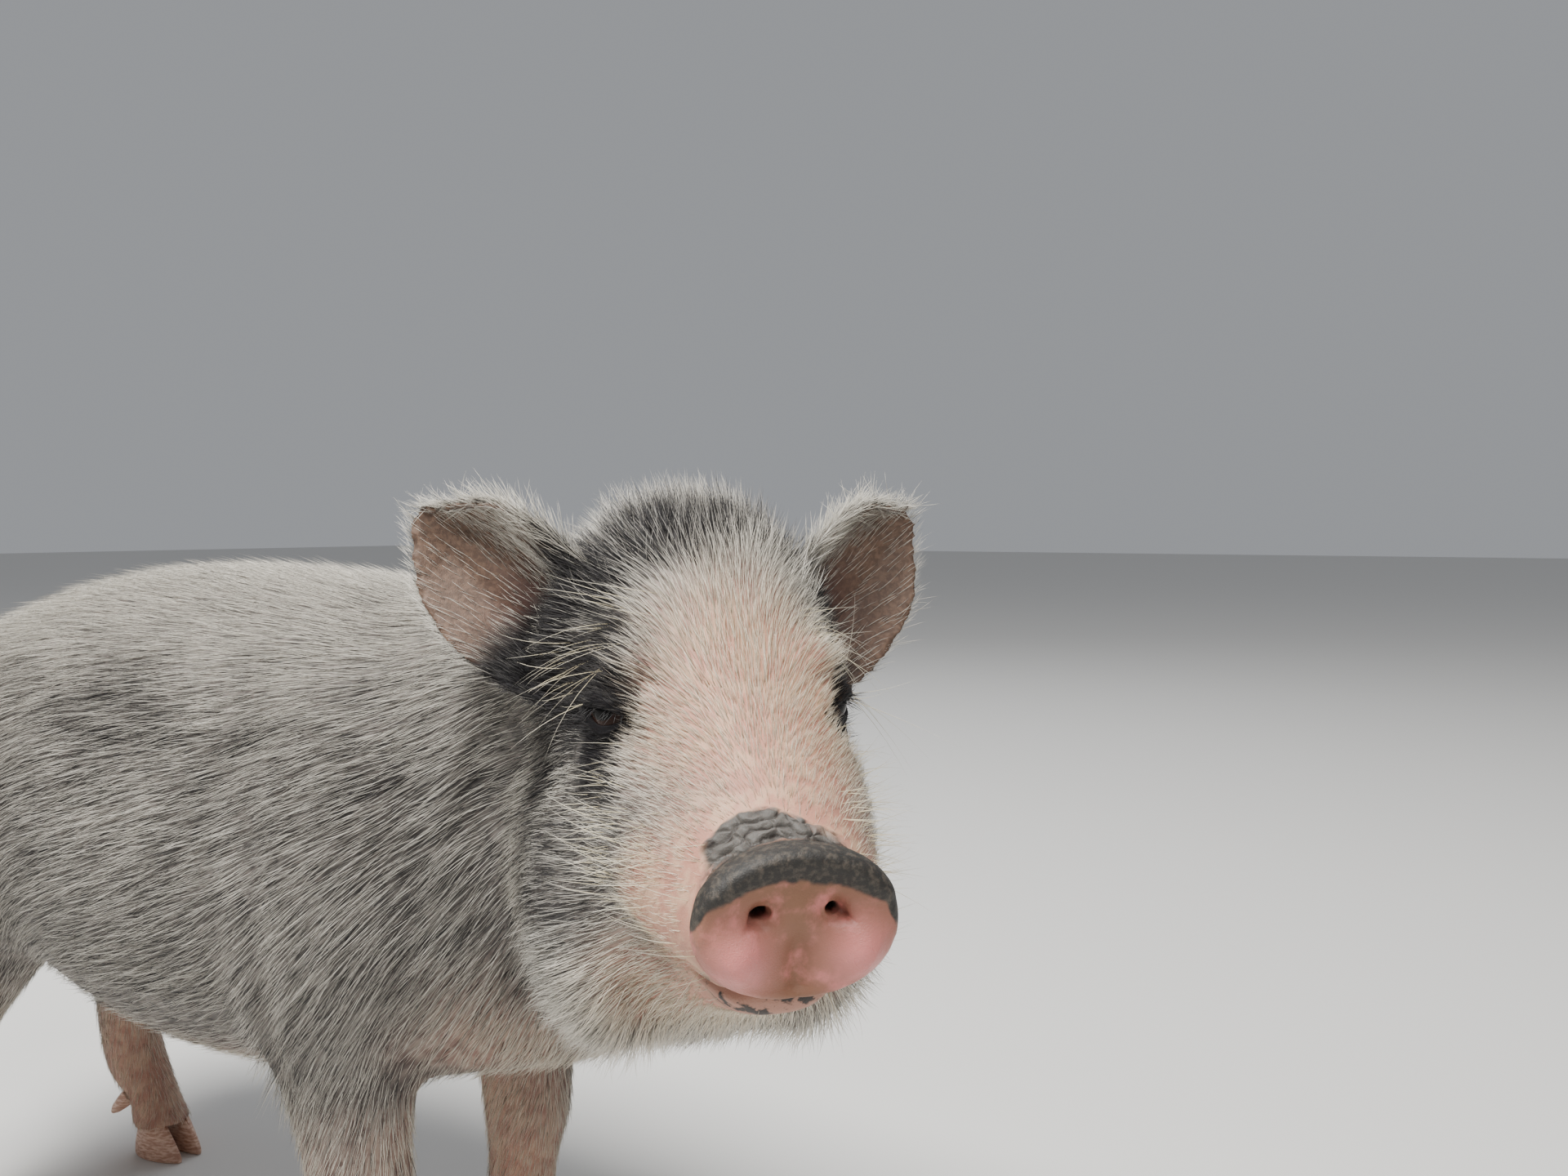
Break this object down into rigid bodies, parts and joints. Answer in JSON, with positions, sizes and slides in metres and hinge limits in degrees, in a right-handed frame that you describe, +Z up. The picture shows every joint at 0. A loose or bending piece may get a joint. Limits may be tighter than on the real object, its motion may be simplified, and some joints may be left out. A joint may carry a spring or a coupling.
{
  "type": "kunekune pig model",
  "caption": "Life-size still model of a young kunekune pig, standing with its head turned to its right.",
  "frame": {"origin": "middle of the model's box, on the floor it stands on", "axes": "+Z up, the body faces -Y, the left side at +X; the head is turned towards -X"},
  "size_m": [0.2324, 0.605, 0.3465],
  "materials": {
    "hide": "pale silver hair over mottled grey skin",
    "face": "cream hair over pink and charcoal skin",
    "ear": "bare tan-pink skin with a pale fringe",
    "disc": "bare moist pink skin",
    "eye": "wet dark brown",
    "horn": "pinkish horn"
  },
  "bodies": {
    "root": {"claw_fore_left_inner": "horn", "claw_fore_left_outer": "horn", "claw_fore_right_inner": "horn", "claw_fore_right_outer": "horn", "claw_hind_left_inner": "horn", "claw_hind_left_outer": "horn", "claw_hind_right_inner": "horn", "claw_hind_right_outer": "horn", "dewclaw_fore_left_inner": "horn", "dewclaw_fore_left_outer": "horn", "dewclaw_fore_right_inner": "horn", "dewclaw_fore_right_outer": "horn", "dewclaw_hind_left_inner": "horn", "dewclaw_hind_left_outer": "horn", "dewclaw_hind_right_inner": "horn", "dewclaw_hind_right_outer": "horn", "ear_left": "ear", "ear_right": "ear", "eye_left": "eye", "eye_right": "eye", "foreleg_left": "hide", "foreleg_right": "hide", "head": "face", "hindleg_left": "hide", "hindleg_right": "hide", "neck": "hide", "snout_disc": "disc", "tail": "hide", "torso": "hide"}
  },
  "joints": []
}
